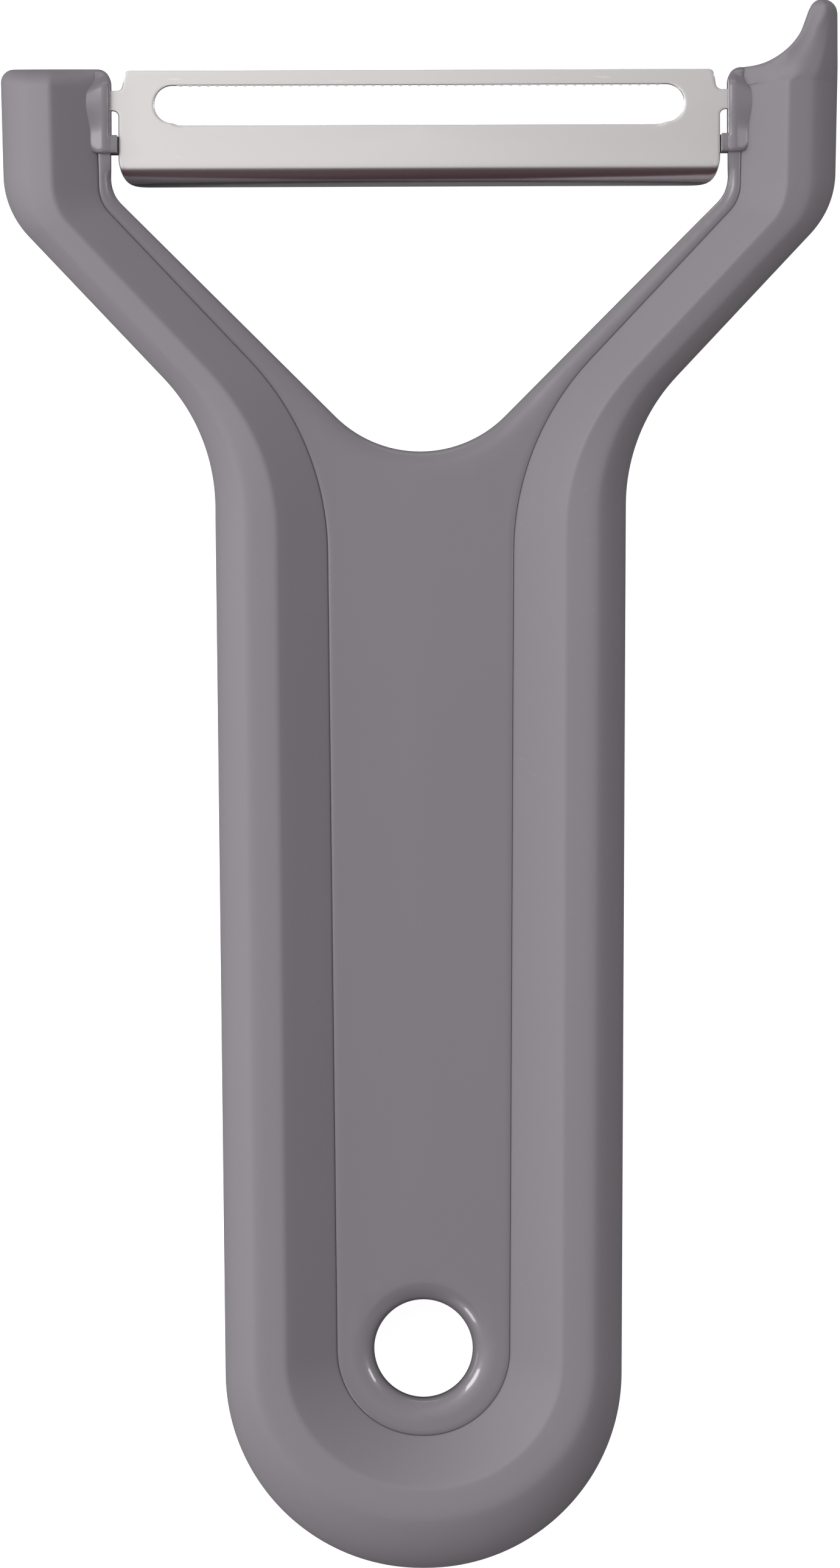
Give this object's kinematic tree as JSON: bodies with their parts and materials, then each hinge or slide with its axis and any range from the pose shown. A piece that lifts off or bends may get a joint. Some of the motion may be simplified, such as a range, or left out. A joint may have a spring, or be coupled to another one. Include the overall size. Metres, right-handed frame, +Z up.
{
  "type": "vegetable peeler",
  "caption": "Y-shaped hand peeler: a slotted steel blade swivels between the arms of a flat soft-edged handle with an eye-remover horn and a hanging hole.",
  "frame": {"origin": "under the middle of the outline, on the surface that the peeler lies on when it lies on its back", "axes": "+X to the right along the blade, +Y from the handle's end to the blade, +Z up out of the front face"},
  "size_m": [0.0748, 0.14, 0.0125],
  "materials": {
    "core": "satin",
    "grip": "matte, fine grain",
    "steel": "fine satin"
  },
  "bodies": {
    "handle": {"handle_core": "core", "soft_grip": "grip"},
    "blade": {"blade": "steel"}
  },
  "joints": [
    {"name": "blade_pivot", "type": "hinge", "parent": "handle", "child": "blade", "pos_m": [0, 0.0612, 0.00625], "axis": [-1, 0, 0], "range_deg": [0, 50]}
  ]
}
